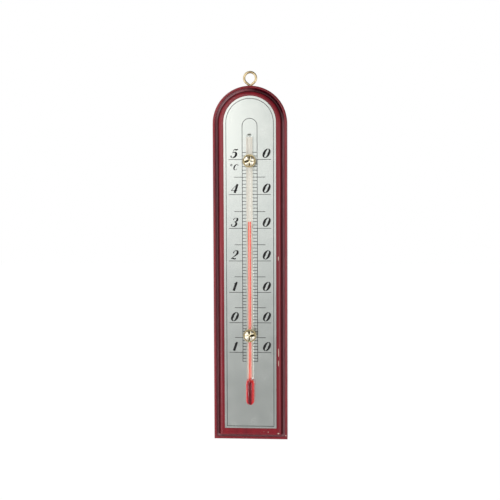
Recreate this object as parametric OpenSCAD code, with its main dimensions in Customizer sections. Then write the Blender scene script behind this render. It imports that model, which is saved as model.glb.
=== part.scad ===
// Room thermometer: arched hardwood board, printed aluminium scale and a red-spirit capillary tube.
// Millimetres. X runs to the viewer's right and Z up. The wall is the plane y = 0 and the front faces -Y.
// The origin is the middle of the board's foot, on the wall. "Off the wall" means the distance -y.

/* [Board] */
// Width of the board, which is also the diameter of its arched top
board_w = 52; // [46:0.5:70]
// Height of the board from its square foot to the crown of the arch
board_h = 248.5; // [244:0.5:290]
// Thickness of the board at its raised field
board_t = 14; // [11:0.5:20]

/* [Moulding] */
// Width of the rounded bead that runs round the rim
bead_w = 1.9; // [1.2:0.1:2.4]
// How far the bead's top lies below the raised field
bead_drop = 1.2; // [0.6:0.1:1.6]
// Width of the hollow between the bead and the field, at the sides and the arch
hollow_w = 2.35; // [1.8:0.05:3]
// Width of the hollow that shows above the foot, where the field comes lower
foot_hollow_w = 1.1; // [0.6:0.05:1.6]
// Distance from the field's edge to the hollow's deepest line
hollow_shift = 0.8; // [0.2:0.05:0.8]
// Depth of that line below the field
crease_drop = 3.4; // [3:0.1:4.2]
// Radius of the quarter round along the field's edge
quarter_round_r = 2.05; // [1.2:0.05:2.4]

/* [Scale plate] */
// Strip of bare field left beside the plate
side_reveal = 1.5; // [0.4:0.05:3]
// Strip of bare field left under the plate
foot_reveal = 3.4; // [0.5:0.1:5]
// Strip of bare field left over the plate's crown
crown_reveal = 1; // [0.2:0.1:1.2]
// Thickness of the aluminium plate
plate_t = 0.5; // [0.3:0.1:1]
// Thickness of the adhesive film that holds the plate
film_t = 0.1; // [0.05:0.05:0.3]
// How far the film stops short of the plate's edge
film_inset = 0.6; // [0.2:0.1:2]

/* [Print] */
// Thickness of the printed ink
ink_t = 0.04; // [0.02:0.01:0.08]
// Width of the border line and of the two rails
line_w = 0.38; // [0.25:0.01:0.6]
// Width of a degree mark
mark_w = 0.36; // [0.2:0.01:0.5]
// Distance from the plate's side to the border line
border_side = 1.7; // [1:0.05:3]
// Distance from the plate's crown to the border line
border_crown = 1.8; // [1:0.05:4]
// Distance from the plate's foot to the border line
border_foot = 1.45; // [0.8:0.05:3]
// Distance between the two rails beside the tube
rail_gap = 10.4; // [9.9:0.1:14]
// Distance from the plate's crown to the rounded end of the rails
rail_crown = 15.5; // [10:0.1:18]
// Reach of a five-degree line from the middle
five_reach = 10.8; // [8:0.1:12]
// Reach of a ten-degree line from the middle
ten_reach = 14.75; // [13:0.05:15.5]

/* [Graduation] */
// Height of the freezing point above the board's foot
freezing_z = 83.3; // [78:0.1:88]
// Length of one degree up to the freezing point
degree_pitch = 2.1; // [1.9:0.01:2.15]
// Growth of that length per degree above it, as the spirit expands more when warm
pitch_growth = 0.0036; // [0:0.0002:0.005]
// Lowest degree on the scale
coldest = -13; // [-15:1:-10]
// Highest degree on the scale
warmest = 52; // [46:1:54]
// Degree that the spirit shows at rest
reading = 32; // [0:1:40]

/* [Tube] */
// Diameter of the capillary stem
stem_d = 4.5; // [4:0.1:5.4]
// Diameter of the bulb
bulb_d = 5.9; // [5.6:0.1:7]
// Height of the bulb's round end above the board's foot
bulb_foot_z = 25.8; // [18:0.1:30]
// Height at which the bulb begins to narrow
shoulder_z = 41.4; // [38:0.1:44]
// Height over which it narrows to the stem
shoulder_l = 3.5; // [2.5:0.1:4.5]
// Height of the stem's sealed end above the board's foot
tube_tip_z = 215; // [210:0.1:217]
// Thickness of the bulb's wall
bulb_wall = 0.55; // [0.3:0.05:0.9]
// Width of the flat bore
bore_w = 1.5; // [1:0.05:1.8]
// Depth of the flat bore
bore_t = 0.3; // [0.2:0.02:0.5]
// Radius of the small chamber at the top of the bore
chamber_r = 0.55; // [0.3:0.05:0.7]
// Thickness of the white enamel stripe behind the bore
stripe_t = 0.35; // [0.2:0.05:0.5]
// Distance from the stripe to the back of the stem
stripe_skin = 0.45; // [0.3:0.05:0.6]
// Length of the spirit's end piece that travels along the bore
slug_l = 3; // [2:0.5:6]
// Clearance between the travelling spirit and the bore
slug_clear = 0.02; // [0.01:0.01:0.04]

/* [Clips] */
// Height of the upper clip above the board's foot
upper_clip_z = 196; // [180:0.5:202]
// Height of the lower clip above the board's foot
lower_clip_z = 75; // [66:0.5:90]
// Width of the brass strip that bridges the tube
strip_w = 3; // [2:0.1:4]
// Thickness of that strip
strip_t = 0.4; // [0.3:0.05:0.6]
// Gap between the stem and a leg of the strip
leg_gap = 0.1; // [0.05:0.05:0.3]
// Inside radius of the strip's bends
bend_r = 0.6; // [0.3:0.1:0.9]
// Depth to which the legs are driven into the board
leg_depth = 6; // [4:0.5:9]
// Clearance round a leg in the plate and the board
slot_clear = 0.03; // [0.02:0.01:0.1]
// Radius of the rosette's round flange
flange_r = 4.35; // [4.1:0.05:5]
// Thickness of that flange
flange_t = 0.45; // [0.3:0.05:0.8]
// Radius of a bead on the flange's edge
pearl_r = 0.42; // [0.3:0.02:0.55]
// Number of beads on the flange's edge
pearl_count = 24; // [16:2:28]
// Radius to which a petal is domed
petal_r = 2.3; // [2.1:0.05:2.6]
// Distance of a petal's middle from the rosette's middle
petal_out = 1.9; // [1.6:0.05:2.1]
// Height of a petal above the rosette's back
petal_h = 2; // [1.6:0.1:2.3]

/* [Screw eye] */
// Diameter of the eye's brass wire
wire_d = 1.7; // [1.3:0.1:1.8]
// Radius of the eye's round part at the middle of the wire
ring_r = 4.15; // [3.6:0.05:4.8]
// Angle between a straight leg of the eye and the vertical
leg_slant = 50; // [44:1:58]
// Gap between the wire's cut end and the other leg
end_gap = 0.15; // [0.1:0.05:0.5]
// Height above the crown of the arch at which the middles of the two legs would meet
neck_h = 0.5; // [0.3:0.05:2]
// Diameter of the shank
shank_d = 2; // [1.9:0.1:2.4]
// Length of the shank inside the board, with its point
shank_l = 14; // [8:0.5:18]
// Length of the shank's point
point_l = 2.5; // [1:0.5:4]
// Clearance round the shank in the board
shank_clear = 0.02; // [0.01:0.01:0.1]

/* [Hidden] */
$fn = 96;
tiny = 0.01;

// Moulding
arch_z = board_h - board_w / 2;
rim_w = bead_w + hollow_w;
bead_off = board_t - bead_drop;
crease_off = board_t - crease_drop;
hollow_rise = bead_off - bead_w / 2 - crease_off;
hollow_reach = hollow_w - hollow_shift;
hollow_r = (hollow_reach * hollow_reach + hollow_rise * hollow_rise) / (2 * hollow_rise);
wall_w = board_w - 2 * rim_w;
wall_foot_z = bead_w + foot_hollow_w;
field_w = wall_w - 2 * quarter_round_r;

// Plate and print
plate_w = field_w - 2 * side_reveal;
plate_foot_z = wall_foot_z + quarter_round_r + foot_reveal;
plate_crown_z = board_h - rim_w - quarter_round_r - crown_reveal;
film_off = board_t + film_t;
plate_off = film_off + plate_t;

// Height of a degree mark above the board's foot
function degree_z(t) = freezing_z + degree_pitch * t + pitch_growth * t * max(t, 0);

// Tube
stem_r = stem_d / 2;
bulb_r = bulb_d / 2;
tube_off = plate_off + bulb_r;
neck_z = shoulder_z + shoulder_l;
cavity_r = bulb_r - bulb_wall;
chamber_z = tube_tip_z - stem_r;
stripe_out_r = stem_r - stripe_skin;
stripe_gap = 0.3;
nib_r = 0.7;
nib_rise = 0.45;
level_z = degree_z(reading);
meniscus_r = bore_w * 0.6;
meniscus_lift = 0.8;

// Clips
leg_in = stem_r + leg_gap;
leg_out = leg_in + strip_t;
bridge_off = tube_off + stem_r;
rosette_off = bridge_off + strip_t;
leg_end_off = board_t - leg_depth;
petals = 4;

// Screw eye
eye_off = board_t / 2;
meet_z = board_h + neck_h;
ring_z = meet_z + ring_r / sin(leg_slant);
leg_l = ring_r / tan(leg_slant);
wire_r = wire_d / 2;
cut_l = max(
    shank_d / 2 + end_gap,
    (wire_r * (1 + abs(cos(2 * leg_slant))) + end_gap) / sin(2 * leg_slant)
);
knuckle_swell = 0.06;
point_d = 0.4;

// Stands a drawing up in the XZ plane and gives it a thickness, from one distance off the wall to the front
module facing(off, thick) {
    translate([0, -off, 0])
        rotate([90, 0, 0])
            linear_extrude(thick)
                children();
}

// Arched outline, square at the foot
module arch_outline(w, foot_z, crown_z) {
    translate([-w / 2, foot_z])
        square([w, crown_z - w / 2 - foot_z]);
    translate([0, crown_z - w / 2])
        circle(d = w);
}

// Line of a given width along the inside of an arched outline
module arch_line(w, foot_z, crown_z) {
    difference() {
        arch_outline(w + line_w, foot_z - line_w / 2, crown_z + line_w / 2);
        arch_outline(w - line_w, foot_z + line_w / 2, crown_z - line_w / 2);
    }
}

// Block whose two upper corners are rounded, as a cross-section
module shouldered(w, h, r) {
    translate([-w / 2, 0])
        square([w, h - r]);
    translate([-w / 2 + r, 0])
        square([w - 2 * r, h]);
    for (side = [-1, 1])
        translate([side * (w / 2 - r), h - r])
            circle(r = r);
}

// Cross-section of the rim: x runs inwards from the edge, y off the wall
module rim_section() {
    square([bead_w, bead_off - bead_w / 2]);
    translate([bead_w / 2, bead_off - bead_w / 2])
        circle(d = bead_w);
    difference() {
        square([rim_w, crease_off + hollow_rise]);
        translate([rim_w - hollow_shift, crease_off + hollow_r])
            circle(r = hollow_r);
    }
}

// Rim with bead and hollow, mitred at the two corners of the foot
module rim() {
    translate([0, 0, arch_z])
        rotate([90, 0, 0])
            rotate_extrude(angle = 180)
                translate([board_w / 2, 0])
                    mirror([1, 0])
                        rim_section();
    for (side = [0, 1])
        mirror([side, 0, 0])
            intersection() {
                translate([-board_w / 2, 0, 0])
                    linear_extrude(arch_z)
                        mirror([0, 1])
                            rim_section();
                translate([-board_w / 2, 0, 0])
                    facing(-tiny, board_t)
                        polygon([[0, 0], [rim_w, rim_w], [rim_w, arch_z], [0, arch_z]]);
            }
    intersection() {
        rotate([90, 0, 90])
            linear_extrude(board_w, center = true)
                rotate(90)
                    rim_section();
        facing(-tiny, board_t)
            polygon([
                [-board_w / 2, 0], [board_w / 2, 0],
                [board_w / 2 - rim_w, rim_w], [-board_w / 2 + rim_w, rim_w]
            ]);
    }
}

// Raised field with its quarter-round edge
module field() {
    intersection() {
        union() {
            linear_extrude(arch_z)
                mirror([0, 1])
                    shouldered(wall_w, board_t, quarter_round_r);
            translate([0, 0, arch_z])
                rotate([90, 0, 0])
                    rotate_extrude(angle = 180)
                        intersection() {
                            shouldered(wall_w, board_t, quarter_round_r);
                            square([wall_w, board_t]);
                        }
        }
        rotate([90, 0, 90])
            linear_extrude(board_w, center = true)
                rotate(90)
                    translate([wall_foot_z + board_h, 0])
                        shouldered(2 * board_h, board_t, quarter_round_r);
    }
}

// Places of the four legs, in the plane of the plate
module at_legs() {
    for (z = [upper_clip_z, lower_clip_z])
        for (side = [-1, 1])
            translate([side * (leg_in + strip_t / 2), z])
                children();
}

module leg_slots() {
    at_legs()
        square([strip_t + 2 * slot_clear, strip_w + 2 * slot_clear], center = true);
}

module backboard() {
    color("#6e1f2a")
        difference() {
            union() {
                rim();
                field();
            }
            facing(leg_end_off - slot_clear, board_t)
                leg_slots();
            translate([0, -eye_off, board_h - shank_l])
                cylinder(r = shank_d / 2 + shank_clear, h = shank_l + tiny);
        }
}

module plate_adhesive() {
    color("#cfc9b4")
        facing(board_t, film_t)
            difference() {
                arch_outline(
                    plate_w - 2 * film_inset,
                    plate_foot_z + film_inset,
                    plate_crown_z - film_inset
                );
                leg_slots();
            }
}

module scale_plate() {
    color("#c3cac6")
        facing(film_off, plate_t)
            difference() {
                arch_outline(plate_w, plate_foot_z, plate_crown_z);
                leg_slots();
            }
}

// One degree mark: every mark joins the rails, and every fifth and tenth runs out past them
module degree_mark(t) {
    reach = t % 10 == 0 ? ten_reach : t % 5 == 0 ? five_reach : rail_gap / 2;
    translate([-reach, degree_z(t) - mark_w / 2])
        square([2 * reach, mark_w]);
}

module scale_print() {
    color("#1d1d1f")
        facing(plate_off, ink_t)
            difference() {
                union() {
                    arch_line(
                        plate_w - 2 * border_side,
                        plate_foot_z + border_foot,
                        plate_crown_z - border_crown
                    );
                    arch_line(rail_gap, degree_z(coldest), plate_crown_z - rail_crown);
                    for (t = [coldest + 1 : warmest])
                        degree_mark(t);
                }
                leg_slots();
            }
}

// Round-ended body of the bulb, inside or outside the glass
module bulb_form(r, foot_z) {
    translate([0, 0, foot_z + r])
        sphere(r = r);
    translate([0, 0, foot_z + r])
        cylinder(r = r, h = shoulder_z - foot_z - r);
    translate([0, 0, shoulder_z])
        sphere(r = r);
}

// Flat bore as a cross-section, with round ends
module bore_section(clear) {
    flat = bore_t - 2 * clear;
    square([bore_w - bore_t, flat], center = true);
    for (side = [-1, 1])
        translate([side * (bore_w - bore_t) / 2, 0])
            circle(d = flat);
}

// Enamel stripe as a cross-section: a crescent behind the bore
module stripe_section() {
    intersection() {
        difference() {
            circle(r = stripe_out_r);
            circle(r = stripe_out_r - stripe_t);
        }
        translate([-stem_r, bore_t / 2 + stripe_gap])
            square([stem_d, stem_r]);
    }
}

module stripe_form() {
    translate([0, 0, neck_z])
        linear_extrude(chamber_z - neck_z)
            stripe_section();
}

module cavity() {
    bulb_form(cavity_r, bulb_foot_z + bulb_wall);
}

module glass_tube() {
    color("#e9efee", 0.35)
        translate([0, -tube_off, 0])
            difference() {
                union() {
                    bulb_form(bulb_r, bulb_foot_z);
                    translate([0, 0, bulb_foot_z + nib_rise])
                        sphere(r = nib_r);
                    translate([0, 0, shoulder_z])
                        cylinder(r1 = (bulb_r + stem_r) / 2, r2 = stem_r, h = shoulder_l);
                    translate([0, 0, shoulder_z])
                        cylinder(r = stem_r, h = chamber_z - shoulder_z);
                    translate([0, 0, chamber_z])
                        sphere(r = stem_r);
                }
                cavity();
                translate([0, 0, shoulder_z])
                    linear_extrude(chamber_z - shoulder_z)
                        bore_section(0);
                translate([0, 0, chamber_z])
                    sphere(r = chamber_r);
                stripe_form();
            }
}

module enamel_stripe() {
    color("#f1ecdf")
        translate([0, -tube_off, 0])
            stripe_form();
}

module bulb_spirit() {
    color("#a3121f")
        translate([0, -tube_off, 0])
            cavity();
}

// Thread of spirit from the bulb to the travelling end piece
module spirit_column() {
    color("#e0412f")
        translate([0, -tube_off, 0])
            difference() {
                translate([0, 0, shoulder_z])
                    linear_extrude(level_z - slug_l - shoulder_z)
                        bore_section(slug_clear);
                cavity();
            }
}

// End piece of the spirit, with its hollow surface
module spirit_meniscus() {
    color("#e0412f")
        translate([0, -tube_off, 0])
            difference() {
                translate([0, 0, level_z - slug_l])
                    linear_extrude(slug_l)
                        bore_section(slug_clear);
                translate([0, 0, level_z + meniscus_r * meniscus_lift])
                    rotate([90, 0, 0])
                        cylinder(r = meniscus_r, h = bore_w, center = true);
            }
}

// Brass strip bent over the tube, with both legs cut to a slanting point
module staple(clip_z) {
    color("#c9a45a")
        translate([0, 0, clip_z - strip_w / 2])
            linear_extrude(strip_w)
                mirror([0, 1])
                    difference() {
                        translate([0, leg_end_off])
                            shouldered(2 * leg_out, rosette_off - leg_end_off, bend_r + strip_t);
                        translate([0, leg_end_off - tiny])
                            shouldered(2 * leg_in, bridge_off - leg_end_off + tiny, bend_r);
                        for (side = [0, 1])
                            mirror([side, 0])
                                polygon([
                                    [leg_in - tiny, leg_end_off - tiny],
                                    [leg_out + tiny, leg_end_off - tiny],
                                    [leg_out + tiny, leg_end_off + 3 * strip_t]
                                ]);
                    }
}

// Four domed petals on a round flange with a beaded edge, drawn lying on its back
module rosette_form() {
    cylinder(r = flange_r, h = flange_t);
    intersection() {
        union() {
            for (i = [0 : petals - 1])
                rotate(45 + i * 360 / petals)
                    translate([petal_out, 0, petal_h - petal_r])
                        sphere(r = petal_r);
            for (i = [0 : pearl_count - 1])
                rotate(i * 360 / pearl_count)
                    translate([flange_r, 0, flange_t / 2])
                        sphere(r = pearl_r, $fn = 32);
        }
        cylinder(r = flange_r + pearl_r + tiny, h = petal_h + tiny);
    }
}

module rosette(clip_z) {
    color("#e6cf93")
        translate([0, -rosette_off, clip_z])
            rotate([90, 0, 0])
                rosette_form();
}

module upper_staple() {
    staple(upper_clip_z);
}

module upper_rosette() {
    rosette(upper_clip_z);
}

module lower_staple() {
    staple(lower_clip_z);
}

module lower_rosette() {
    rosette(lower_clip_z);
}

// Straight leg of the eye, from a distance along its slant up to the knuckle where the round part begins
module eye_leg(slant, from_l) {
    rotate([0, slant, 0]) {
        translate([0, 0, from_l])
            cylinder(d = wire_d, h = leg_l - from_l);
        translate([0, 0, leg_l])
            sphere(d = wire_d + knuckle_swell);
    }
}

// Wire bent to a drop: its right leg runs on into the shank and the left one is cut off just beside it
module screw_eye() {
    color("#dcc27a")
        translate([0, -eye_off, 0]) {
            translate([0, 0, ring_z])
                rotate([90, 0, 0])
                    rotate(-leg_slant)
                        rotate_extrude(angle = 180 + 2 * leg_slant)
                            translate([ring_r, 0])
                                circle(d = wire_d);
            translate([0, 0, meet_z]) {
                eye_leg(leg_slant, 0);
                eye_leg(-leg_slant, cut_l);
                sphere(d = shank_d);
            }
            translate([0, 0, board_h - shank_l + point_l])
                cylinder(d = shank_d, h = shank_l - point_l + neck_h);
            translate([0, 0, board_h - shank_l])
                cylinder(d1 = point_d, d2 = shank_d, h = point_l);
        }
}

backboard();
plate_adhesive();
scale_plate();
scale_print();
glass_tube();
enamel_stripe();
bulb_spirit();
spirit_column();
spirit_meniscus();
upper_staple();
upper_rosette();
lower_staple();
lower_rosette();
screw_eye();
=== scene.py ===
# Wall thermometer: arched stained board, printed aluminium scale, red-spirit tube, brass rosettes and eye.
# Metres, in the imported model's frame: +X to the viewer's right, +Z up, the wall at y = 0, the front at -Y.
import math

import bmesh
import bpy
from mathutils import Matrix, Vector


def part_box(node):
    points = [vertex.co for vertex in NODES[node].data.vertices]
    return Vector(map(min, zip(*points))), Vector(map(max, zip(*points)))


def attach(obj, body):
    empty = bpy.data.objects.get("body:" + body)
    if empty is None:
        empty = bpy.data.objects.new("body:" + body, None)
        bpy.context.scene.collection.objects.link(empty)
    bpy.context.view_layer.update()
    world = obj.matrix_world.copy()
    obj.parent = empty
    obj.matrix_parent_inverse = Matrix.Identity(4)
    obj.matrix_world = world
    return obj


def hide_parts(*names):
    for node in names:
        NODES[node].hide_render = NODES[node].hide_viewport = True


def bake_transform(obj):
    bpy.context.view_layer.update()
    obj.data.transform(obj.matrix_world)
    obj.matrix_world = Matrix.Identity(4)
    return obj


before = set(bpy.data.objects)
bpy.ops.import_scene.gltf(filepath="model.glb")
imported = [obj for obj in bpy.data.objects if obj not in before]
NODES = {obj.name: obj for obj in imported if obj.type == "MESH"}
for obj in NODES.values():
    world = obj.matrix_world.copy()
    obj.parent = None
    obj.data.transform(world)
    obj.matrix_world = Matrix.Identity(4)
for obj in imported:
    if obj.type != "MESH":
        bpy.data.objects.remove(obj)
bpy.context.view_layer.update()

MM = 0.001

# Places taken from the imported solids
TUBE_LOW, TUBE_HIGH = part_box("glass_tube")
TUBE_Y = (TUBE_LOW.y + TUBE_HIGH.y) / 2
BULB_R = (TUBE_HIGH.x - TUBE_LOW.x) / 2
STRIPE_LOW, STRIPE_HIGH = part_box("enamel_stripe")
NECK_Z = STRIPE_LOW.z
CHAMBER_Z = STRIPE_HIGH.z
STEM_R = TUBE_HIGH.z - CHAMBER_Z
SPIRIT_LOW, SPIRIT_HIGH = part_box("bulb_spirit")
CAVITY_R = (SPIRIT_HIGH.x - SPIRIT_LOW.x) / 2
SHOULDER_Z = SPIRIT_HIGH.z - CAVITY_R
COLUMN_LOW, COLUMN_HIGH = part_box("spirit_column")
BORE_W = COLUMN_HIGH.x - COLUMN_LOW.x
LEVEL_LOW, LEVEL_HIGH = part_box("spirit_meniscus")
LEVEL_Z = LEVEL_HIGH.z
PLATE_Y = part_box("scale_plate")[0].y
INK_T = PLATE_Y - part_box("scale_print")[0].y
BOARD_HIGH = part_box("backboard")[1]
ARCH_R = BOARD_HIGH.x
ARCH_Z = BOARD_HIGH.z - ARCH_R
EYE_LOW, EYE_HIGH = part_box("screw_eye")
EYE_Y = (EYE_LOW.y + EYE_HIGH.y) / 2


# Modelling

# Vertices nearer to each other than this are merged
MERGE = 0.002 * MM


def select_only(piece):
    """Selects one piece and makes it the active one."""
    bpy.ops.object.select_all(action="DESELECT")
    piece.select_set(True)
    bpy.context.view_layer.objects.active = piece


def add(primitive, name, **how):
    """Adds one primitive with nothing else selected."""
    bpy.ops.object.select_all(action="DESELECT")
    primitive(**how)
    piece = bpy.context.object
    piece.name = name
    piece.data.name = name
    return piece


def edit(kind="VERT"):
    """Goes to edit mode, to work on vertices or on edges."""
    bpy.ops.object.mode_set(mode="EDIT")
    bpy.ops.mesh.select_mode(type=kind)


def pick(piece, test):
    """In edit mode, selects the vertices whose place passes a test, and the edges and faces between them."""
    mesh = bmesh.from_edit_mesh(piece.data)
    for vertex in mesh.verts:
        vertex.select_set(bool(test(vertex.co)))
    mesh.select_flush(True)
    mesh.select_flush(False)
    bmesh.update_edit_mesh(piece.data)


def pull(x=0.0, y=0.0, z=0.0):
    """Extrudes what is selected by a distance."""
    bpy.ops.mesh.extrude_region_move(TRANSFORM_OT_translate={"value": (x, y, z)})


def scale(x, y, z, centre):
    """Stretches what is selected, away from a centre."""
    bpy.ops.transform.resize(value=(x, y, z), center_override=centre)


def tidy(inside=False):
    """In edit mode, merges what meets, points the faces outwards and goes back to object mode."""
    bpy.ops.mesh.select_all(action="SELECT")
    bpy.ops.mesh.remove_doubles(threshold=MERGE)
    bpy.ops.mesh.normals_make_consistent(inside=inside)
    bpy.ops.object.mode_set(mode="OBJECT")


def settle(piece):
    """Puts the piece's place, turn and size into its mesh."""
    select_only(piece)
    bpy.ops.object.transform_apply(location=True, rotation=True, scale=True)


def smooth(piece, degrees):
    """Shades the piece smooth over all edges that are flatter than an angle."""
    select_only(piece)
    bpy.ops.object.shade_smooth_by_angle(angle=math.radians(degrees))


def apply_modifier(piece, kind, **settings):
    """Adds a modifier and puts what it does into the mesh."""
    bpy.context.view_layer.objects.active = piece
    modifier = piece.modifiers.new(kind.lower(), kind)
    for name, value in settings.items():
        setattr(modifier, name, value)
    bpy.ops.object.modifier_apply(modifier=modifier.name)


def join(pieces, name):
    """Makes one piece of several."""
    bpy.ops.object.select_all(action="DESELECT")
    for piece in pieces:
        piece.select_set(True)
    bpy.context.view_layer.objects.active = pieces[0]
    bpy.ops.object.join()
    pieces[0].name = name
    pieces[0].data.name = name
    return pieces[0]


def copy_of(piece, name):
    """A copy with its own mesh."""
    twin = piece.copy()
    twin.data = piece.data.copy()
    twin.name = name
    twin.data.name = name
    bpy.context.scene.collection.objects.link(twin)
    return twin


def show(name, data):
    """A new object in the scene, for a curve, a lamp or a camera."""
    made = bpy.data.objects.new(name, data)
    bpy.context.scene.collection.objects.link(made)
    return made


def arc(radius, start, stop, steps, centre_z):
    """Points (radius, height) on an arc round a centre on the axis, angles in degrees from level."""
    turns = [math.radians(start + (stop - start) * i / steps) for i in range(steps + 1)]
    return [(radius * math.cos(turn), centre_z + radius * math.sin(turn)) for turn in turns]


def lathe(name, profile, sides, axis_y=0.0):
    """Pulls one vertex along the (radius, height) points and spins the line round an upright axis."""
    first_r, first_z = profile[0]
    piece = add(bpy.ops.mesh.primitive_plane_add, name, size=MM, location=(first_r, axis_y, first_z))
    settle(piece)
    edit()
    bpy.ops.mesh.select_all(action="SELECT")
    bpy.ops.mesh.merge(type="CENTER")
    for (r0, z0), (r1, z1) in zip(profile, profile[1:]):
        pull(x=r1 - r0, z=z1 - z0)
    bpy.ops.mesh.select_all(action="SELECT")
    bpy.ops.mesh.spin(steps=sides, angle=2 * math.pi, center=(0, axis_y, 0), axis=(0, 0, 1))
    tidy()
    return piece


def wear(piece, paint):
    """Gives a piece its one material."""
    piece.data.materials.clear()
    piece.data.materials.append(paint)


# Shader building

def put(tree, kind, inputs=None, **settings):
    """Adds a node. Its inputs are values, or sockets of other nodes to be joined to."""
    made = tree.nodes.new(kind)
    for name, value in settings.items():
        setattr(made, name, value)
    for name, value in (inputs or {}).items():
        if isinstance(value, bpy.types.NodeSocket):
            tree.links.new(value, made.inputs[name])
        else:
            made.inputs[name].default_value = value
    return made


NUMBER = "NodeSocketFloat"
VECTOR = "NodeSocketVector"


def group(name, inputs):
    """A shader node group that makes one number; returns it with the sockets it is given and gives."""
    tree = bpy.data.node_groups.new(name, "ShaderNodeTree")
    for label, kind in inputs.items():
        tree.interface.new_socket(label, in_out="INPUT", socket_type=kind)
    tree.interface.new_socket("Value", in_out="OUTPUT", socket_type=NUMBER)
    return tree, tree.nodes.new("NodeGroupInput").outputs, tree.nodes.new("NodeGroupOutput").inputs


def use(tree, made_group, inputs):
    """Places a group in a tree; returns its one output."""
    return put(tree, "ShaderNodeGroup", inputs, node_tree=made_group).outputs[0]


def math_node(tree, operation, a, b=0.0, clamp=False):
    return put(tree, "ShaderNodeMath", {0: a, 1: b}, operation=operation, use_clamp=clamp).outputs[0]


def plus(tree, a, b, clamp=False):
    return math_node(tree, "ADD", a, b, clamp)


def less(tree, a, b, clamp=False):
    return math_node(tree, "SUBTRACT", a, b, clamp)


def times(tree, a, b, clamp=False):
    return math_node(tree, "MULTIPLY", a, b, clamp)


def larger(tree, a, b):
    return math_node(tree, "MAXIMUM", a, b)


def vector_node(tree, operation, a, b):
    return put(tree, "ShaderNodeVectorMath", {0: a, 1: b}, operation=operation).outputs[0]


def split(tree, vector):
    """The outputs X, Y and Z of a vector."""
    return put(tree, "ShaderNodeSeparateXYZ", {"Vector": vector}).outputs


def ramp(tree, value, stops):
    """Colours by a value; stops are (position, colour) pairs in rising order."""
    made = put(tree, "ShaderNodeValToRGB", {"Fac": value})
    for _ in stops[2:]:
        made.color_ramp.elements.new(0.5)
    for element, (position, colour) in zip(made.color_ramp.elements, stops):
        element.position = position
        element.color = (*colour, 1.0)
    return made.outputs["Color"]


def blend_colours(tree, factor, a, b):
    """From colour a to colour b, by a factor."""
    made = tree.nodes.new("ShaderNodeMix")
    made.data_type = "RGBA"
    for socket, value in ((made.inputs[0], factor), (made.inputs[6], a), (made.inputs[7], b)):
        if isinstance(value, bpy.types.NodeSocket):
            tree.links.new(value, socket)
        else:
            socket.default_value = (*value, 1.0)
    return made.outputs[2]


def map_range(tree, value, low, high, to_low=0.0, to_high=1.0):
    return put(tree, "ShaderNodeMapRange", {
        "Value": value, "From Min": low, "From Max": high, "To Min": to_low, "To Max": to_high,
    }).outputs["Result"]


def material(name):
    made = bpy.data.materials.new(name)
    made.use_nodes = True
    made.node_tree.nodes.clear()
    return made, made.node_tree


def finish_material(tree, shader):
    put(tree, "ShaderNodeOutputMaterial", {"Surface": shader})


def surface(made, inputs):
    """Gives a material the one shader of a solid surface, and returns it."""
    shader = put(made.node_tree, "ShaderNodeBsdfPrincipled", inputs)
    finish_material(made.node_tree, shader.outputs[0])
    return made


def object_place(tree, stretch=(1, 1, 1)):
    """Object coordinates in metres, stretched along each axis."""
    place = put(tree, "ShaderNodeTexCoord").outputs["Object"]
    return put(tree, "ShaderNodeMapping", {"Vector": place, "Scale": stretch}).outputs["Vector"]


def noise(tree, vector, fineness, detail, roughness):
    return put(tree, "ShaderNodeTexNoise", {
        "Vector": vector, "Scale": fineness, "Detail": detail, "Roughness": roughness,
    }).outputs["Fac"]


def bump(tree, height, strength, distance):
    return put(tree, "ShaderNodeBump", {
        "Height": height, "Strength": strength, "Distance": distance,
    }).outputs["Normal"]


# Effects that several materials share

def make_smudges():
    """Soft uneven patches with fine specks in them, as handling and age leave on any polished surface."""
    tree, given, gives = group("smudges", {
        "Vector": VECTOR, "Patch": NUMBER, "Speck": NUMBER, "Contrast": NUMBER,
    })
    patch = noise(tree, given["Vector"], given["Patch"], 4.0, 0.55)
    speck = noise(tree, given["Vector"], given["Speck"], 2.0, 0.6)
    both = plus(tree, times(tree, patch, 0.7), times(tree, speck, 0.3))
    away = times(tree, less(tree, both, 0.5), given["Contrast"])
    tree.links.new(plus(tree, away, 0.5, True), gives["Value"])
    return tree


def make_hairlines():
    """Fine straight lines along one direction: the drawing marks of metal and the fibres of wood."""
    tree, given, gives = group("hairlines", {
        "Vector": VECTOR, "Stretch": VECTOR, "Fineness": NUMBER, "Low": NUMBER, "High": NUMBER,
    })
    stretched = vector_node(tree, "MULTIPLY", given["Vector"], given["Stretch"])
    lines = noise(tree, stretched, given["Fineness"], 3.0, 0.6)
    mapped = map_range(tree, lines, given["Low"], given["High"])
    tree.links.new(mapped, gives["Value"])
    return tree


def make_chip():
    """One worn spot with a ragged edge, round a centre, with a half size along each axis."""
    tree, given, gives = group("chip", {
        "Vector": VECTOR, "Centre": VECTOR, "Half": VECTOR, "Rag": NUMBER,
    })
    away = vector_node(tree, "SUBTRACT", given["Vector"], given["Centre"])
    shares = vector_node(tree, "DIVIDE", away, given["Half"])
    far = put(tree, "ShaderNodeVectorMath", {0: shares}, operation="LENGTH").outputs["Value"]
    grit = noise(tree, given["Vector"], 1800.0, 3.0, 0.7)
    reach = plus(tree, far, times(tree, times(tree, grit, given["Rag"]), 2.0))
    edge = plus(tree, given["Rag"], 1.0)
    tree.links.new(times(tree, less(tree, edge, reach), 6.0, True), gives["Value"])
    return tree


SMUDGES = make_smudges()
HAIRLINES = make_hairlines()
CHIP = make_chip()


def smudges(tree, place, patch, speck, contrast):
    return use(tree, SMUDGES, {"Vector": place, "Patch": patch, "Speck": speck, "Contrast": contrast})


def hairlines(tree, place, along, fineness, low, high):
    """Hairlines along Z: the smaller the share along it, the longer they are."""
    return use(tree, HAIRLINES, {
        "Vector": place, "Stretch": (1.0, 1.0, along), "Fineness": fineness, "Low": low, "High": high,
    })
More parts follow.
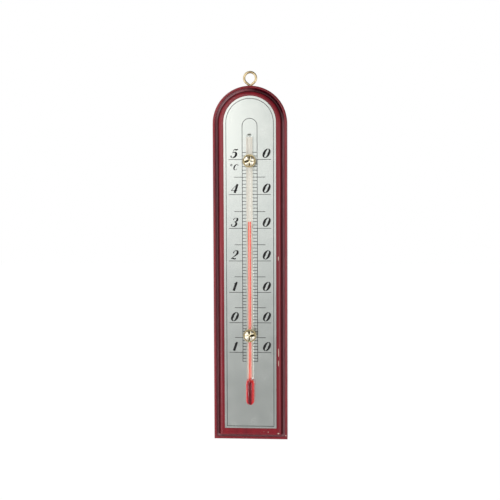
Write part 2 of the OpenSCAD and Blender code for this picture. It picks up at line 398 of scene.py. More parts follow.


# Wood of the board

# Stain over the wood's figure, from its dark bands to its light ones, and what changes it, with the painted
# shade and painted reflection of the moulding
FIGURE_STAIN = [(0.0, (0.18, 0.003, 0.013)), (0.55, (0.27, 0.005, 0.017)), (1.0, (0.36, 0.009, 0.022))]
FIBRE_STAIN = (0.47, 0.015, 0.028)
PORE_STAIN = (0.06, 0.004, 0.007)
PATCH_STAIN = (0.16, 0.007, 0.014)
ARCH_RIGHT_PAINTED_SHADE = (0.14, 0.003, 0.010)
POOLED_STAIN_AND_SHADE = (0.06, 0.003, 0.009)
CREASE_PAINTED_SHADE = (0.06, 0.002, 0.006)
PAINTED_HOLLOW_REFLECTION = (0.50, 0.28, 0.31)
PALE_DUST = (0.50, 0.27, 0.24)
BARE_WOOD = (0.78, 0.56, 0.44)
BARE_FIBRE = (0.88, 0.74, 0.62)

# Worn spots along the field's right edge and the foot, as in the photo: centre and half size in mm
WOOD_CHIPS = [
    ((19.75, -13.9, 128.3), (0.27, 0.6, 1.6)),
    ((19.75, -13.9, 62.0), (0.25, 0.5, 3.2)),
    ((19.75, -13.9, 54.5), (0.22, 0.5, 2.2)),
    ((19.6, -13.8, 4.6), (0.7, 0.8, 0.5)),
    ((12.4, -14.0, 5.6), (0.4, 0.4, 0.25)),
    ((9.3, -14.0, 5.9), (0.3, 0.3, 0.12)),
    ((24.9, -12.6, 2.9), (0.4, 0.5, 0.35)),
]
CHIP_RAG = 0.6

# Zones of the moulding, each with the two distances between which it begins.
# The first two are measured inwards from the board's outline, the next two along Y, the last along Z.
HOLLOW_ZONE = (1.5 * MM, 2.1 * MM)
CREASE_ZONE = (3.0 * MM, 3.4 * MM)
SUNK_ZONE = (-13.1 * MM, -12.3 * MM)
BACK_ZONE = (-10.2 * MM, -9.8 * MM)
SIDE_ZONE = (2.9 * MM, 3.3 * MM)

# How much stain has pooled in the hollow; the lean adds painted shade to it on the arch's right
POOLED = 0.45
# Strength of the painted reflection in the hollow this far to the left and to the right of the middle, and
# at the foot
HOLLOW_REFLECTION_SPAN = 20 * MM
HOLLOW_REFLECTION_LEFT = 0.42
HOLLOW_REFLECTION_RIGHT = 0.62
HOLLOW_REFLECTION_FOOT = 0.6
# Painted reflection lost up to the top of the arch, and painted reflection lost on the arch's right and
# gained on its left
HOLLOW_REFLECTION_CROWN = 0.3
HOLLOW_REFLECTION_LEAN = 0.42
# Product of the distances across and up the arch at which the lean counts as one
LEAN_AREA = 150 * MM * MM
# Lean at which the painted shade on the arch's right is darkest, and how much it darkens there
PAINTED_SHADE_LEAN = 2.0
PAINTED_SHADE_MOST = 0.65


def hollow_masks(tree):
    """Masks of the moulding: pooled stain with painted shade, a painted reflection in the hollow, painted
    shade along the hollow's deepest line and on the arch's right.
    """
    place = split(tree, object_place(tree))
    across = math_node(tree, "ABSOLUTE", place["X"])
    rise = larger(tree, less(tree, place["Z"], ARCH_Z), 0.0)
    reach = math_node(tree, "SQRT", plus(tree, times(tree, across, across), times(tree, rise, rise)))
    inset = math_node(tree, "MINIMUM", less(tree, ARCH_R, reach), place["Z"])
    inside = map_range(tree, inset, *HOLLOW_ZONE)
    sunk = map_range(tree, place["Y"], *SUNK_ZONE)
    front = map_range(tree, place["Y"], *BACK_ZONE, 1.0, 0.0)
    hollow = times(tree, times(tree, inside, sunk), front)
    open_side = map_range(tree, inset, *CREASE_ZONE, 1.0, 0.0)
    leaning = math_node(tree, "DIVIDE", times(tree, place["X"], rise), LEAN_AREA)
    side = map_range(tree, place["X"], -HOLLOW_REFLECTION_SPAN, HOLLOW_REFLECTION_SPAN, HOLLOW_REFLECTION_LEFT, HOLLOW_REFLECTION_RIGHT)
    level = map_range(tree, place["Z"], *SIDE_ZONE, HOLLOW_REFLECTION_FOOT, side)
    aloft = less(tree, level, times(tree, rise, HOLLOW_REFLECTION_CROWN / ARCH_R))
    amount = plus(tree, aloft, times(tree, leaning, -HOLLOW_REFLECTION_LEAN), True)
    # Painted reflection of the lacquer in the hollow, set by side, height and lean
    haze = times(tree, times(tree, hollow, open_side), amount)
    # Stain pooled in the hollow, with painted shade added by the lean on the arch's right
    pooled_and_shaded = times(tree, hollow, plus(tree, leaning, POOLED), True)
    # Painted shade along the hollow's deepest line
    crease = times(tree, hollow, less(tree, 1.0, open_side))
    # Painted shade on the arch's right, up and to the right
    right_painted_shade = times(tree, map_range(tree, leaning, 0.0, PAINTED_SHADE_LEAN, 0.0, PAINTED_SHADE_MOST), front)
    return pooled_and_shaded, haze, crease, right_painted_shade


def worn_spots(tree, place):
    """Mask of all the worn spots."""
    worn = 0.0
    for centre, half in WOOD_CHIPS:
        spot = use(tree, CHIP, {
            "Vector": place, "Centre": [c * MM for c in centre], "Half": [h * MM for h in half],
            "Rag": CHIP_RAG,
        })
        worn = larger(tree, spot, worn)
    return worn


def stained_wood():
    """Mahogany-red stain under gloss lacquer: fibres and pores along Z, darker where the stain pools, with
    painted shade and a painted reflection in the moulding's hollow.
    """
    made, tree = material("stained_mahogany_lacquer")
    place = object_place(tree)
    fibres = hairlines(tree, place, along=0.035, fineness=1500.0, low=0.3, high=0.72)
    figure = hairlines(tree, place, along=0.06, fineness=160.0, low=0.3, high=0.7)
    pores = hairlines(tree, place, along=0.05, fineness=3200.0, low=0.62, high=0.72)
    patches = smudges(tree, place, patch=45.0, speck=900.0, contrast=1.6)
    dust = map_range(tree, noise(tree, place, 2600.0, 2.0, 0.6), 0.67, 0.75, 0.0, 0.4)
    pooled_and_shaded, haze, crease, right_painted_shade = hollow_masks(tree)
    # Painted reflection in the hollow, streaked along the fibres
    streaked_reflection = times(tree, haze, plus(tree, times(tree, fibres, 0.5), 0.72))
    stain = ramp(tree, figure, FIGURE_STAIN)
    for share, over in (
        (times(tree, fibres, 0.35), FIBRE_STAIN), (times(tree, pores, 0.55), PORE_STAIN),
        (times(tree, patches, 0.30), PATCH_STAIN), (right_painted_shade, ARCH_RIGHT_PAINTED_SHADE), (pooled_and_shaded, POOLED_STAIN_AND_SHADE),
        (times(tree, crease, 0.7), CREASE_PAINTED_SHADE), (streaked_reflection, PAINTED_HOLLOW_REFLECTION), (dust, PALE_DUST),
    ):
        stain = blend_colours(tree, share, stain, over)
    worn = worn_spots(tree, place)
    bare = blend_colours(tree, fibres, BARE_WOOD, BARE_FIBRE)
    roughness = plus(tree, map_range(tree, patches, 0.2, 0.8, 0.3, 0.42), times(tree, worn, 0.3), True)
    coat = less(tree, less(tree, 0.8, worn), times(tree, crease, 0.75), True)
    height = less(tree, times(tree, fibres, 0.4), pores)
    return surface(made, {
        "Base Color": blend_colours(tree, worn, stain, bare), "Roughness": roughness,
        "Coat Weight": coat, "Coat Roughness": 0.2, "Coat IOR": 1.5, "Specular IOR Level": 0.1,
        "Normal": bump(tree, height, 0.25, 0.05 * MM),
    })


# Plate and ink, glue and enamel

def satin_aluminium():
    """Silvery plate with a faint mottle and fine upright lines."""
    made, tree = material("satin_aluminium")
    place = object_place(tree)
    mottle = smudges(tree, place, patch=110.0, speck=2600.0, contrast=1.8)
    lines = hairlines(tree, place, along=0.02, fineness=5000.0, low=0.25, high=0.75)
    colour = ramp(tree, mottle, [(0.0, (0.60, 0.64, 0.615)), (1.0, (0.69, 0.72, 0.69))])
    roughness = plus(tree, map_range(tree, mottle, 0.2, 0.8, 0.215, 0.26), times(tree, lines, 0.03))
    height = plus(tree, times(tree, mottle, 0.25), times(tree, lines, 0.4))
    return surface(made, {
        "Base Color": colour, "Metallic": 1.0, "Roughness": roughness,
        "Normal": bump(tree, height, 0.1, 0.02 * MM),
    })


def scale_ink():
    """Black ink that has gone a little grey in places."""
    made, tree = material("black_scale_ink")
    worn = smudges(tree, object_place(tree), patch=300.0, speck=4000.0, contrast=1.6)
    return surface(made, {
        "Base Color": ramp(tree, worn, [
            (0.0, (0.006, 0.006, 0.007)), (0.6, (0.014, 0.014, 0.015)), (1.0, (0.05, 0.05, 0.05)),
        ]),
        "Roughness": map_range(tree, worn, 0.2, 0.8, 0.42, 0.6), "Specular IOR Level": 0.25,
        "Normal": bump(tree, worn, 0.1, 0.01 * MM),
    })


def cloudy(name, patch, speck, contrast, colours, roughness):
    """Glue or enamel: its colour and roughness run between two values in soft patches."""
    made, tree = material(name)
    patches = smudges(tree, object_place(tree), patch, speck, contrast)
    return surface(made, {
        "Base Color": ramp(tree, patches, list(enumerate(colours))),
        "Roughness": map_range(tree, patches, 0.0, 1.0, *roughness),
    })


# Brass

PATINA_AND_SHADE_BROWN = (0.60, 0.50, 0.27)
PATINA_AND_SHADE_BLACK = (0.025, 0.022, 0.012)
# Painted shade on the top of the eye: it begins between these depths under the top, and between these places
# across
EYE_SHADE_UNDER = (2.4 * MM, 1.2 * MM)
EYE_SHADE_ACROSS = (-1.6 * MM, -0.6 * MM)


def darken_by_patina_and_shade(tree, colour, rough):
    """Brown and then black where the piece's own attribute of patina and painted shade is high."""
    dark = put(tree, "ShaderNodeAttribute", attribute_name="patina_and_shade").outputs["Fac"]
    colour = blend_colours(tree, map_range(tree, dark, 0.0, 0.3), colour, PATINA_AND_SHADE_BROWN)
    colour = blend_colours(tree, map_range(tree, dark, 0.32, 0.62), colour, PATINA_AND_SHADE_BLACK)
    return colour, plus(tree, rough, times(tree, dark, 0.3), True)


def paint_shade_on_eye_top(tree, place, colour, deep):
    """Painted shade: the top of the eye is darker from a little left of its middle to its right, as in the
    photo.
    """
    parts = split(tree, place)
    from_z, full_z = (EYE_HIGH.z - drop for drop in EYE_SHADE_UNDER)
    near_top = map_range(tree, parts["Z"], from_z, full_z, 0.0, 0.8)
    right = map_range(tree, parts["X"], *EYE_SHADE_ACROSS)
    return blend_colours(tree, times(tree, near_top, right), colour, deep)


def brass(name, pale, deep, edge, patch, roughness, lines, patina_and_shade=False, shaded_top=False):
    """Polished brass with darker tarnish in patches; lines along Z where the wire or strip was drawn."""
    made, tree = material(name)
    place = object_place(tree)
    tarnish = smudges(tree, place, patch=patch, speck=3500.0, contrast=2.2)
    drawn = hairlines(tree, place, along=0.12, fineness=4200.0, low=0.3, high=0.7)
    colour = ramp(tree, tarnish, [(0.15, deep), (0.6, pale), (1.0, pale)])
    rough = plus(tree, map_range(tree, tarnish, 0.1, 0.9, roughness + 0.12, roughness),
                 times(tree, drawn, lines * 0.1))
    # Patina with painted shade, from the piece's own attribute
    if patina_and_shade:
        colour, rough = darken_by_patina_and_shade(tree, colour, rough)
    # Painted shade on the top of the eye
    if shaded_top:
        colour = paint_shade_on_eye_top(tree, place, colour, deep)
    height = plus(tree, times(tree, drawn, lines), tarnish)
    return surface(made, {
        "Base Color": colour, "Metallic": 1.0, "Roughness": rough, "Specular Tint": (*edge, 1.0),
        "Normal": bump(tree, height, 0.15, 0.02 * MM),
    })


# Glass and spirit

GLASS_TINT = (0.98, 0.99, 0.985)

# Colours across the thread, by the share of the bore's width from left to right
THREAD_CREAM = (0.97, 0.90, 0.82)
THREAD_RED = (0.96, 0.05, 0.0)
THREAD_PALE = (0.98, 0.80, 0.70)
THREAD_DEEP = (0.96, 0.03, 0.0)
THREAD_SHADES = [
    (0.03, THREAD_CREAM), (0.05, THREAD_RED), (0.37, THREAD_RED), (0.43, THREAD_PALE),
    (0.54, THREAD_PALE), (0.60, THREAD_DEEP), (0.93, THREAD_DEEP), (0.96, THREAD_CREAM),
]
THREAD_HAZE = (0.95, 0.35, 0.25)
# Behind its front face the thread shows the enamel's cream, which begins between these places
THREAD_BACK = (0.96, 0.91, 0.83)
THREAD_BACK_ZONE = (TUBE_Y - 0.1 * MM, TUBE_Y - 0.04 * MM)

# Colour of the spirit by the angle round the bulb, in degrees from the front to the right: painted shade in
# front and a painted glow at the sides
BULB_PAINTED_SHADE_AND_GLOW = [
    (-105, (0.98, 0.17, 0.17)), (-68, (0.98, 0.07, 0.07)), (-48, (0.72, 0.002, 0.012)),
    (-26, (0.26, 0.004, 0.018)), (-8, (0.10, 0.002, 0.008)), (8, (0.16, 0.002, 0.010)),
    (24, (0.30, 0.002, 0.012)), (40, (0.95, 0.006, 0.016)), (66, (0.98, 0.06, 0.05)),
    (105, (0.98, 0.19, 0.16)),
]
# Lighter red where the bulb draws in to its neck
NECK_RED = (0.90, 0.07, 0.05)
NECK_ZONE = (NECK_Z - 3.0 * MM, NECK_Z - 1.2 * MM)
CLOUD_RED = (0.30, 0.01, 0.02)


def lets_lamps_through(tree, shader):
    """Glass that doesn't shade what is inside and behind it."""
    path = put(tree, "ShaderNodeLightPath")
    clear = put(tree, "ShaderNodeBsdfTransparent", {"Color": (*GLASS_TINT, 1.0)})
    return put(tree, "ShaderNodeMixShader", {
        0: path.outputs["Is Shadow Ray"], 1: shader, 2: clear.outputs[0],
    }).outputs[0]


def clear_glass():
    """Drawn glass, with the long faint ripples of its drawing."""
    made, tree = material("clear_drawn_glass")
    ripple = noise(tree, object_place(tree, (1.0, 1.0, 0.12)), 380.0, 2.0, 0.5)
    shader = put(tree, "ShaderNodeBsdfPrincipled", {
        "Base Color": (0.99, 1.0, 0.995, 1.0), "Roughness": 0.015, "IOR": 1.47,
        "Metallic": 0.0, "Transmission Weight": 1.0,
        "Normal": bump(tree, ripple, 0.06, 0.03 * MM),
    })
    finish_material(tree, lets_lamps_through(tree, shader.outputs[0]))
    return made


def column_spirit():
    """The thread in the flat bore: pale in the middle, where it is thin, and deep at both edges."""
    made, tree = material("red_spirit_thread")
    place = object_place(tree)
    parts = split(tree, place)
    share = map_range(tree, parts["X"], -BORE_W / 2, BORE_W / 2)
    back = map_range(tree, parts["Y"], *THREAD_BACK_ZONE, 0.0, 0.95)
    haze = smudges(tree, place, patch=220.0, speck=2200.0, contrast=1.0)
    colour = ramp(tree, share, THREAD_SHADES)
    colour = blend_colours(tree, times(tree, haze, 0.06), colour, THREAD_HAZE)
    colour = blend_colours(tree, back, colour, THREAD_BACK)
    return surface(made, {
        "Base Color": colour, "Roughness": map_range(tree, haze, 0.0, 1.0, 0.2, 0.35),
        "Specular IOR Level": 0.05,
    })


def bulb_red():
    """Red spirit in the bulb: nearly black in front, where it is deepest, with painted shade, and a painted
    red glow at the sides.
    """
    made, tree = material("red_spirit_in_bulb")
    place = object_place(tree)
    parts = split(tree, place)
    turn = math_node(tree, "ARCTAN2", parts["X"], less(tree, TUBE_Y, parts["Y"]))
    share = map_range(tree, turn, -math.pi, math.pi)
    cloud = smudges(tree, place, patch=500.0, speck=3000.0, contrast=1.0)
    near_neck = map_range(tree, parts["Z"], *NECK_ZONE, 0.0, 0.85)
    # Painted shade in front and painted glow at the sides, by the angle round the bulb
    deep = ramp(tree, share, [(0.5 + degrees / 360, colour) for degrees, colour in BULB_PAINTED_SHADE_AND_GLOW])
    deep = blend_colours(tree, near_neck, deep, NECK_RED)
    deep = blend_colours(tree, times(tree, cloud, 0.12), deep, CLOUD_RED)
    return surface(made, {
        "Base Color": deep, "Roughness": map_range(tree, cloud, 0.0, 1.0, 0.35, 0.5),
        "Specular IOR Level": 0.0,
    })


# Tube and spirit

BORE_T = 0.3 * MM
# How far the spirit's outline lies outside the bore's, so that no gap shows between them
WETTING = 0.03 * MM
# Sealed nib, and how far it stands out under the bulb; angles at which its arc ends and the bulb's begins
NIB_R = 0.55 * MM
NIB_L = 0.25 * MM
NIB_END = -20
BOWL_START = -66
# Round chamber at the top of the bore, and the width of its least ring
CHAMBER_R = 0.55 * MM
CHAMBER_STEPS = 8
POLE_W = 0.02 * MM
# The shoulder starts this far under its place in the solid, and is this much shorter
SHOULDER_DROP = 0.4 * MM
SHOULDER_CUT = 0.6 * MM
SHOULDER_STEPS = 10
STEM_STEPS = 12
TUBE_SIDES = 48
BORE_SIDES = 20
# Spirit's dome and throat between the bulb and the bore, and how far the thread reaches down into them
DOME_END = 62
THROAT_R = 0.62 * MM
THROAT_TOP_R = THROAT_R * 0.8
THROAT_Z = SHOULDER_Z + CAVITY_R * 0.99
THREAD_OVERLAP = 0.9 * MM
SPIRIT_SIDES = 40
# Hollow end of the thread: share of its width and depth under the rim
MENISCUS = [(0.94, 0.0), (0.7, 0.16 * MM), (0.4, 0.3 * MM), (0.15, 0.36 * MM)]
MENISCUS_OVERLAP = 0.02 * MM
GLASS_ANGLE = 50


def glass_profile():
    """Outer outline of the tube, from the sealed nib under the bulb to the rounded end of the stem."""
    nib = arc(NIB_R, -90, NIB_END, 5, TUBE_LOW.z + NIB_R)
    nib[0] = (0.0, nib[0][1])
    bowl = arc(BULB_R, BOWL_START, 0, 10, TUBE_LOW.z + NIB_L + BULB_R)
    low = SHOULDER_Z - SHOULDER_DROP
    length = NECK_Z - SHOULDER_Z - SHOULDER_CUT
    shoulder = []
    for i in range(SHOULDER_STEPS + 1):
        t = i / SHOULDER_STEPS
        ease = t * t * (3 - 2 * t)
        shoulder.append((BULB_R + (STEM_R - BULB_R) * ease, low + length * t))
    stem = [(STEM_R, NECK_Z + (CHAMBER_Z - NECK_Z) * i / STEM_STEPS) for i in range(STEM_STEPS + 1)]
    tip = arc(STEM_R, 0, 90, 9, CHAMBER_Z)[1:]
    tip[-1] = (0.0, tip[-1][1])
    return nib + bowl + shoulder + stem + tip


def stadium(name, z, grow):
    """Flat bore's outline as a face with round ends, at one height, left in edit mode and selected."""
    ring = add(bpy.ops.mesh.primitive_circle_add, name, vertices=BORE_SIDES, radius=BORE_T / 2 + grow,
               location=(0, TUBE_Y, z))
    settle(ring)
    edit()
    for side in (-1, 1):
        pick(ring, lambda place: place.x * side > MERGE / 2)
        bpy.ops.transform.translate(value=(side * (BORE_W / 2 - BORE_T / 2), 0, 0))
    bpy.ops.mesh.select_all(action="SELECT")
    bpy.ops.mesh.edge_face_add()
    return ring


def chamber_turn(step):
    """Angle from the bottom of the round chamber to one of its steps."""
    return math.radians(180 / CHAMBER_STEPS * step)


def make_glass():
    """Drawn tube with its bulb. Its flat bore widens at the top to a round chamber."""
    outer = lathe("glass_tube_body", glass_profile(), TUBE_SIDES, TUBE_Y)
    bore = stadium("bore", NECK_Z, 0.0)
    top = CHAMBER_Z - CHAMBER_R
    pull(z=top - NECK_Z)
    wide, deep = BORE_W, BORE_T
    half_way = CHAMBER_STEPS / 2
    for step in range(1, CHAMBER_STEPS + 1):
        next_deep = max(2 * CHAMBER_R * math.sin(chamber_turn(step)), POLE_W)
        next_wide = next_deep
        if step < half_way:
            next_wide = BORE_W - (BORE_W - 2 * CHAMBER_R) * step / half_way
        rise = CHAMBER_R * (math.cos(chamber_turn(step - 1)) - math.cos(chamber_turn(step)))
        pull(z=rise)
        top += rise
        scale(next_wide / wide, next_deep / deep, 1, (0, TUBE_Y, top))
        wide, deep = next_wide, next_deep
    tidy(inside=True)
    tube = join([outer, bore], "clear_glass_tube")
    smooth(tube, GLASS_ANGLE)
    wear(tube, clear_glass())
    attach(tube, "instrument")
    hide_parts("glass_tube")


def make_bulb_spirit():
    """Spirit in the bulb: round foot, straight side and a domed top that draws in to the bore."""
    foot = arc(CAVITY_R, -90, 0, 9, SPIRIT_LOW.z + CAVITY_R)
    foot[0] = (0.0, foot[0][1])
    dome = arc(CAVITY_R, 0, DOME_END, 7, SHOULDER_Z)
    throat = [(THROAT_R, THROAT_Z), (THROAT_TOP_R, NECK_Z), (0.0, NECK_Z)]
    body = lathe("red_spirit_in_bulb", foot + dome + throat, SPIRIT_SIDES, TUBE_Y)
    smooth(body, GLASS_ANGLE)
    wear(body, bulb_red())
    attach(body, "instrument")
    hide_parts("bulb_spirit")


def make_column(paint):
    """Thread of spirit, with vertices at its two ends alone."""
    low = NECK_Z - THREAD_OVERLAP
    high = LEVEL_LOW.z
    thread = stadium("red_spirit_thread", low, WETTING)
    pull(z=high - low)
    tidy()
    smooth(thread, GLASS_ANGLE)
    wear(thread, paint)
    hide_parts("spirit_column")
    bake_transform(thread)


def make_meniscus(paint):
    """End of the thread, hollowed at the top where the spirit wets the bore."""
    low = LEVEL_LOW.z - MENISCUS_OVERLAP
    tip = stadium("red_spirit_meniscus", low, WETTING)
    pull(z=LEVEL_Z - low)
    share, height = 1.0, LEVEL_Z
    for to_share, depth in MENISCUS:
        to_height = LEVEL_Z - depth
        pull(z=to_height - height)
        scale(to_share / share, to_share / share, 1, (0, TUBE_Y, to_height))
        share, height = to_share, to_height
    tidy()
    smooth(tip, GLASS_ANGLE)
    wear(tip, paint)
    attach(tip, "spirit_level")
    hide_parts("spirit_meniscus")


# Figures

# A figure is a list of pen strokes on a body one unit high.
# A stroke lists the places of the pen and its half width there: (across, up, half width).
FIGURES = {
    "0": [
        [(0.34, 0.985, 0.016), (0.55, 0.82, 0.085), (0.59, 0.50, 0.125), (0.52, 0.18, 0.085),
         (0.30, 0.015, 0.016), (0.09, 0.18, 0.085), (0.05, 0.50, 0.125), (0.12, 0.82, 0.085),
         (0.34, 0.985, 0.016)],
    ],
    "1": [
        [(0.36, 0.0, 0.115), (0.36, 0.45, 0.115), (0.36, 0.80, 0.112), (0.375, 0.90, 0.095),
         (0.42, 1.0, 0.05)],
        [(0.14, 0.80, 0.012), (0.24, 0.84, 0.02), (0.36, 0.93, 0.03)],
    ],
    "2": [
        [(0.16, 0.70, 0.055), (0.10, 0.76, 0.045), (0.12, 0.88, 0.02), (0.28, 0.98, 0.022),
         (0.48, 0.93, 0.075), (0.57, 0.74, 0.11), (0.50, 0.54, 0.075), (0.34, 0.36, 0.035),
         (0.18, 0.20, 0.022), (0.06, 0.07, 0.02)],
        [(0.03, 0.06, 0.018), (0.18, 0.11, 0.05), (0.34, 0.075, 0.068), (0.50, 0.055, 0.06),
         (0.60, 0.12, 0.02)],
    ],
    "3": [
        [(0.16, 0.76, 0.05), (0.11, 0.82, 0.035), (0.20, 0.94, 0.02), (0.36, 0.98, 0.022),
         (0.52, 0.90, 0.075), (0.54, 0.74, 0.095), (0.44, 0.59, 0.045), (0.28, 0.54, 0.018)],
        [(0.28, 0.545, 0.018), (0.46, 0.50, 0.05), (0.58, 0.31, 0.11), (0.50, 0.09, 0.07),
         (0.30, 0.015, 0.022), (0.12, 0.08, 0.025), (0.07, 0.20, 0.05), (0.13, 0.25, 0.045)],
    ],
    "4": [
        [(0.52, 0.0, 0.105), (0.52, 0.50, 0.105), (0.52, 1.0, 0.09)],
        [(0.47, 0.97, 0.02), (0.26, 0.63, 0.018), (0.04, 0.29, 0.018)],
        [(0.03, 0.27, 0.024), (0.36, 0.27, 0.024), (0.72, 0.27, 0.024)],
    ],
    "5": [
        [(0.60, 0.99, 0.02), (0.46, 0.915, 0.062), (0.30, 0.915, 0.06), (0.15, 0.95, 0.03)],
        [(0.16, 0.94, 0.016), (0.135, 0.74, 0.016), (0.11, 0.55, 0.016)],
        [(0.11, 0.55, 0.016), (0.28, 0.63, 0.03), (0.48, 0.57, 0.09), (0.57, 0.34, 0.115),
         (0.46, 0.09, 0.07), (0.26, 0.015, 0.022), (0.09, 0.09, 0.03), (0.06, 0.19, 0.05),
         (0.12, 0.23, 0.04)],
    ],
    "C": [
        [(0.62, 0.70, 0.02), (0.60, 0.79, 0.06), (0.54, 0.92, 0.022), (0.38, 0.985, 0.02),
         (0.15, 0.82, 0.08), (0.07, 0.50, 0.10), (0.15, 0.18, 0.08), (0.38, 0.015, 0.02),
         (0.56, 0.11, 0.02), (0.62, 0.26, 0.02)],
    ],
    "ring": [
        [(0.15, 1.0, 0.033), (0.27, 0.86, 0.04), (0.15, 0.72, 0.033), (0.03, 0.86, 0.04),
         (0.15, 1.0, 0.033)],
    ],
}
SLANT = 0.345
# The pen's half width is stretched by a share, and a hair's width is added to it
PEN = 1.12
HAIRLINE = 0.008
FREEZING_Z = 83.3 * MM
DEGREE_PITCH = 2.1 * MM
PITCH_GROWTH = 0.0036 * MM
FIGURE_H = 6.15 * MM
FIGURE_RISE = 1.15 * MM
TENS_X = -13.75 * MM
UNITS_X = 8.7 * MM
# Sign of the degree Celsius, under the highest figure
SIGN_DROP = 7.3 * MM
SIGN_H = 4.1 * MM
RING_X = -14.6 * MM
LETTER_X = -11.75 * MM


def degree_z(degrees):
    """Height of a degree line, by the rule of the printed scale."""
    return FREEZING_Z + DEGREE_PITCH * degrees + PITCH_GROWTH * degrees * max(degrees, 0)


def make_stroke(name, stroke, size, x, z):
    """A pen stroke as a curve whose ribbon lies flat on the plate, made a mesh."""
    curve = bpy.data.curves.new(name, "CURVE")
    curve.dimensions = "3D"
    curve.twist_mode = "Z_UP"
    curve.extrude = 1.0
    curve.resolution_u = 8
    closed = stroke[0][:2] == stroke[-1][:2]
    points = stroke[:-1] if closed else stroke
    spline = curve.splines.new("BEZIER")
    spline.bezier_points.add(len(points) - 1)
    spline.use_cyclic_u = closed
    for point, (across, up, half) in zip(spline.bezier_points, points):
        point.co = ((across + SLANT * up) * size, up * size, 0)
        point.handle_left_type = "AUTO"
        point.handle_right_type = "AUTO"
        point.radius = (half * PEN + HAIRLINE) * size
        point.tilt = math.pi / 2
    ribbon = show(name, curve)
    select_only(ribbon)
    bpy.ops.object.convert(target="MESH")
    ribbon.data.transform(Matrix.Translation((x, PLATE_Y, z)) @ Matrix.Rotation(math.pi / 2, 4, "X"))
    return ribbon


def make_figure(name, kind, size, x, z):
    strokes = [make_stroke(f"{name}_{i}", stroke, size, x, z) for i, stroke in enumerate(FIGURES[kind])]
    return join(strokes, name) if len(strokes) > 1 else strokes[0]


def make_figures(ink):
    """Figures at every tenth degree and the degree sign, as one layer of ink on the plate."""
    pieces = []
    for degrees in range(-10, 51, 10):
        base = degree_z(degrees) + FIGURE_RISE
        tens = str(abs(degrees) // 10)
        pieces.append(make_figure(f"tens_{degrees + 10}", tens, FIGURE_H, TENS_X, base))
        pieces.append(make_figure(f"units_{degrees + 10}", "0", FIGURE_H, UNITS_X, base))
    sign_z = degree_z(50) - SIGN_DROP
    pieces.append(make_figure("degree_ring", "ring", SIGN_H, RING_X, sign_z))
    pieces.append(make_figure("degree_letter", "C", SIGN_H, LETTER_X, sign_z))
    figures = join(pieces, "printed_figures")
    edit()
    tidy()
    apply_modifier(figures, "SOLIDIFY", thickness=INK_T, offset=0.0)
    smooth(figures, 20)
    figures.data.transform(Matrix.Translation((0, -INK_T / 2, 0)))
    wear(figures, ink)
    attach(figures, "instrument")


# Rosettes

FLANGE_R = 4.35 * MM
FLANGE_T = 0.45 * MM
# Height of the flange's face, as a share of its thickness
FLANGE_FACE = 0.55
# Beads of the rim, and the share of their radius by which they stand out of the flange's outline
BEAD_R = 0.42 * MM
BEADS = 24
BEAD_OUT = 0.96
PETALS = 4
PETAL_TOP = 2.0 * MM
PETAL_REACH = 3.8 * MM
# Power of the petals' rounding, and how much each petal swells between its creases
PETAL_ROUNDING = 2.7
PETAL_LOBE = 0.10
# Creases at the right, top, left and foot.
# Each has its depth, the share of it that reaches the middle, its lean in radians and its half width in mm.
CREASES = ((0.25, 0.1, 0.0, 0.36), (0.9, 0.45, -0.1, 0.46), (1.0, 1.0, 0.2, 0.62), (1.0, 0.15, 0.08, 0.56))
CREASE_DROP = 0.62
# Notch of the petals' foot at a full crease: share of the reach, and half width in radians
NOTCH_DEPTH = 0.2
NOTCH_HALF = 0.2
DIMPLE_R = 0.5 * MM
DIMPLE_DEPTH = 0.22 * MM
# Rings and spokes of the disc; its rings lie closer together towards the rim
RINGS = 34
RING_SPREAD = 0.85
SPOKES = 192
# The dark patina and painted shade begin over this height, so that the back has none
PATINA_AND_SHADE_FROM_Z = 0.05 * MM
FLANGE_PATINA_AND_SHADE = 0.4
# Patina and painted shade of a bead, up to a share of its radius
BEAD_PATINA_AND_SHADE = 0.14
BEAD_BRIGHT = 0.85
# Patina and painted shade round the petals' foot and in the dimple of the middle, and how far each one
# spreads
FOOT_PATINA_AND_SHADE = 0.4
FOOT_SPREAD = 0.12 * MM
MIDDLE_PATINA_AND_SHADE = 0.3
MIDDLE_SPREAD = 0.7 * MM


def nearest_crease(angle):
    """Angle to the nearest crease, with that crease's depth, inner share and half width."""
    turn = 2 * math.pi / PETALS
    index = round(angle / turn) % PETALS
    depth, inner, lean, half = CREASES[index]
    off = ((angle - index * turn - lean + math.pi) % (2 * math.pi)) - math.pi
    return off, depth, inner, half


def off_bead(angle):
    """Angle to the middle of the nearest bead of the rim."""
    step = 2 * math.pi / BEADS
    return ((angle + step / 2) % step) - step / 2


def from_bead(r, angle):
    """Distance to the middle of the nearest bead of the rim."""
    off = off_bead(angle)
    return math.hypot(r * math.cos(off) - FLANGE_R, r * math.sin(off))


def petal_edge(angle):
    """Radius of the petals' foot, which is notched at each crease."""
    off, depth, _, _ = nearest_crease(angle)
    return PETAL_REACH * (1 - NOTCH_DEPTH * depth * math.exp(-(off / NOTCH_HALF) ** 2))


def crease_share(r, angle):
    """How far a place is down in a crease: most on its line near the rim, 0 on the petals."""
    q = min(r / petal_edge(angle), 1.0)
    off, depth, inner, half = nearest_crease(angle)
    aside = r * math.sin(min(abs(off), math.pi / 2))
    return math.exp(-(aside / (half * MM)) ** 2) * (inner + (1 - inner) * q) * depth


